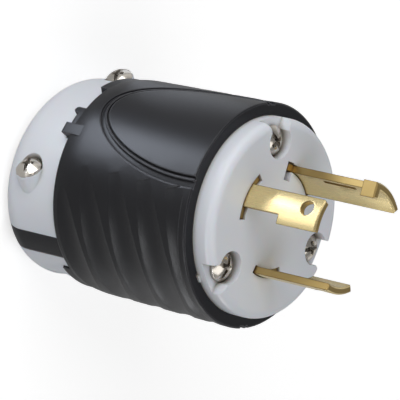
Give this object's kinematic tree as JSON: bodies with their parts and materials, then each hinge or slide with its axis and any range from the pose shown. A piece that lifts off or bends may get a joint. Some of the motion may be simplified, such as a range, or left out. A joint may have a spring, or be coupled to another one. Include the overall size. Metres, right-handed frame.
{
  "type": "locking power plug",
  "caption": "Round twist-lock power plug with curved hooked brass blades, a white face, a black ribbed grip shell and a split white cord clamp.",
  "frame": {"origin": "centre of the cord end, on the plug's axis", "axes": "+Z along the plug's axis from the cord end to the blade tips; -Y faces one moulded oval panel and the heads of the clamp screws; +X faces one finger grip"},
  "size_m": [0.05, 0.05, 0.0847],
  "materials": {
    "black_nylon": "satin moulded nylon",
    "white_nylon": "satin moulded nylon, faintly blue",
    "brass": "stamped, bright",
    "brass_screw": "turned",
    "nickel": "nickel-plated steel",
    "green_screw": "green-dyed plated steel",
    "dust_shield_rubber": "soft moulded rubber"
  },
  "bodies": {
    "root": {"shell": "black_nylon", "front_face": "white_nylon", "terminal_block": "white_nylon", "line_blade": "brass", "neutral_blade": "brass", "ground_blade": "brass", "cord_clamp_head_half": "white_nylon", "cord_clamp_nut_half": "white_nylon", "dust_shield": "dust_shield_rubber", "line_clamp_plate": "brass", "neutral_clamp_plate": "brass", "ground_clamp_plate": "brass", "line_terminal_screw": "brass_screw", "neutral_terminal_screw": "nickel", "ground_terminal_screw": "green_screw", "face_screw_1": "nickel", "face_screw_2": "nickel", "face_screw_3": "nickel", "clamp_screw_1": "nickel", "clamp_screw_2": "nickel", "clamp_nut_1": "nickel", "clamp_nut_2": "nickel"}
  },
  "joints": []
}
